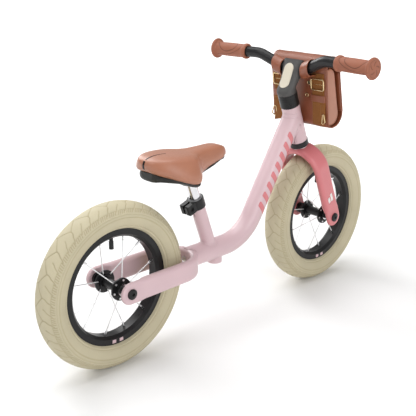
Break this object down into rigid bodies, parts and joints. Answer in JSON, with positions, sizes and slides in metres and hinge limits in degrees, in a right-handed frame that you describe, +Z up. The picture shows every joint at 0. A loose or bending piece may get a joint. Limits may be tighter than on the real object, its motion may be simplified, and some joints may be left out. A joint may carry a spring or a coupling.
{
  "type": "balance bike",
  "caption": "Child's balance bike with a curved tube frame, spoked wheels on cream tyres, height-adjustable saddle and handlebar, and a leather bag on the bar.",
  "frame": {"origin": "on the ground, midway between the two wheel axles and between the two sides", "axes": "+X the riding direction, +Y the rider's left, +Z up"},
  "size_m": [0.89, 0.4146, 0.5336],
  "materials": {
    "pink_paint": "satin",
    "coral_paint": "satin",
    "black_metal": "satin",
    "black_plastic": "matte",
    "steel": "brushed",
    "chrome": "polished",
    "cream_tyre": "matte",
    "tube_rubber": "matte",
    "grip_rubber": "matte",
    "tan_leather": "satin",
    "brown_leather": "satin",
    "webbing": "woven",
    "brass": "polished",
    "cream_plastic": "satin",
    "grey_plastic": "matte"
  },
  "bodies": {
    "frame": {"head_tube": "pink_paint", "main_tube": "pink_paint", "seat_tube": "pink_paint", "rear_stays": "pink_paint", "accessory_boss": "pink_paint", "bridge_bolt": "steel", "headset_lower_cup": "black_metal", "headset_upper_cup": "black_metal", "headset_bearings": "steel", "limiter_screw": "black_metal", "seat_shim": "grey_plastic", "seat_clamp": "black_metal", "seat_clamp_bolt": "black_metal", "rear_axle": "steel", "rear_axle_bolts": "black_metal", "rear_axle_spacers": "black_metal"},
    "fork": {"fork": "coral_paint", "fork_steerer": "steel", "steerer_collar": "black_metal", "front_axle": "steel", "front_axle_bolts": "black_metal", "front_axle_spacers": "black_metal"},
    "handlebar": {"stem": "black_plastic", "stem_badge": "cream_plastic", "quill": "steel", "quill_wedge": "steel", "handlebar": "black_metal", "grip_left": "grip_rubber", "grip_right": "grip_rubber", "bag_shell": "brown_leather", "bag_gussets": "tan_leather", "bag_loops": "brown_leather", "bag_straps": "webbing", "bag_buckles": "brass", "bag_keepers": "brown_leather", "bag_hooks": "brass", "bag_eyelets": "brass"},
    "bag_flap": {"bag_flap": "brown_leather", "flap_tab": "brown_leather", "flap_stud": "brass"},
    "saddle": {"seat_post": "chrome", "saddle_base": "black_plastic", "saddle_cover": "tan_leather", "saddle_bracket": "black_plastic"},
    "front_wheel": {"front_tyre": "cream_tyre", "front_inner_tube": "tube_rubber", "front_rim": "black_metal", "front_spokes": "steel", "front_nipples": "steel", "front_hub": "black_metal", "front_hub_bearings": "steel", "front_valve": "tube_rubber"},
    "rear_wheel": {"rear_tyre": "cream_tyre", "rear_inner_tube": "tube_rubber", "rear_rim": "black_metal", "rear_spokes": "steel", "rear_nipples": "steel", "rear_hub": "black_metal", "rear_hub_bearings": "steel", "rear_valve": "tube_rubber"}
  },
  "joints": [
    {"name": "steering", "type": "hinge", "parent": "frame", "child": "fork", "pos_m": [0.29, 0, 0.155], "axis": [-0.3714, 0, 0.9285], "range_deg": [-45, 45]},
    {"name": "front_wheel_spin", "type": "hinge", "parent": "fork", "child": "front_wheel", "pos_m": [0.29, 0, 0.155], "axis": [0, 1, 0], "continuous": true},
    {"name": "rear_wheel_spin", "type": "hinge", "parent": "frame", "child": "rear_wheel", "pos_m": [-0.29, 0, 0.155], "axis": [0, 1, 0], "continuous": true},
    {"name": "handlebar_height", "type": "slide", "parent": "fork", "child": "handlebar", "axis": [-0.3714, 0, 0.9285], "range_m": [0, 0.04]},
    {"name": "bag_flap_hinge", "type": "hinge", "parent": "handlebar", "child": "bag_flap", "pos_m": [0.21956, 0, 0.51217], "axis": [0, -1, 0], "range_deg": [0, 110]},
    {"name": "seat_height", "type": "slide", "parent": "frame", "child": "saddle", "axis": [-0.342, 0, 0.9397], "range_m": [-0.012, 0.07]}
  ]
}
